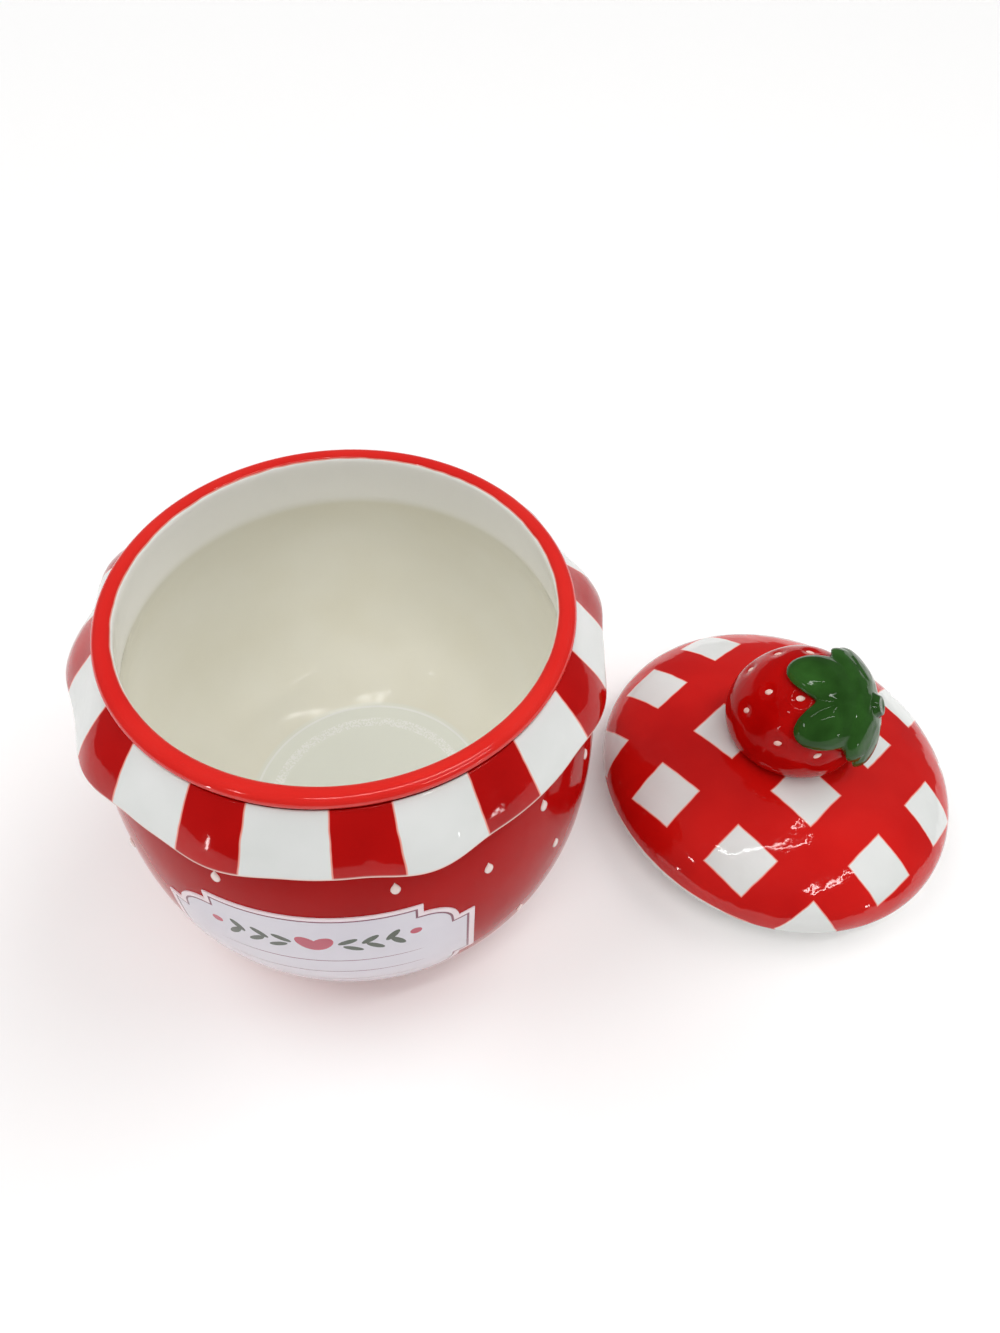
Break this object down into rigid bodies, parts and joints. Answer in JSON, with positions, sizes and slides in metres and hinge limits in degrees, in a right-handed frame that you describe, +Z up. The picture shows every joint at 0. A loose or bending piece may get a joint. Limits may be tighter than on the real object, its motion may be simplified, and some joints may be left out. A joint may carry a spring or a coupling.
{
  "type": "jam pot",
  "caption": "Round-bellied glazed jam pot with a ruffled striped collar and a plain label, and a domed checked lid with a strawberry knob that lifts off.",
  "frame": {"origin": "centre of the pot's foot ring, on the table", "axes": "+Z up along the pot's axis, label facing -Y, lid lying beside the pot towards +X"},
  "size_m": [0.2379, 0.1336, 0.097],
  "materials": {
    "red_glaze": "gloss",
    "striped_glaze": "gloss",
    "label_glaze": "gloss",
    "seed_glaze": "gloss",
    "check_glaze": "gloss",
    "berry_glaze": "gloss",
    "leaf_glaze": "gloss"
  },
  "bodies": {
    "pot": {"pot_body": "red_glaze", "ruffle_collar": "striped_glaze", "label": "label_glaze", "pot_seeds": "seed_glaze"},
    "lid": {"lid_shell": "check_glaze", "berry_knob": "berry_glaze", "calyx": "leaf_glaze", "stem": "leaf_glaze", "berry_seeds": "seed_glaze"}
  },
  "joints": [
    {"name": "lid_lift", "type": "slide", "parent": "pot", "child": "lid", "axis": [0, 0, 1], "range_m": [0, 0.11]}
  ]
}
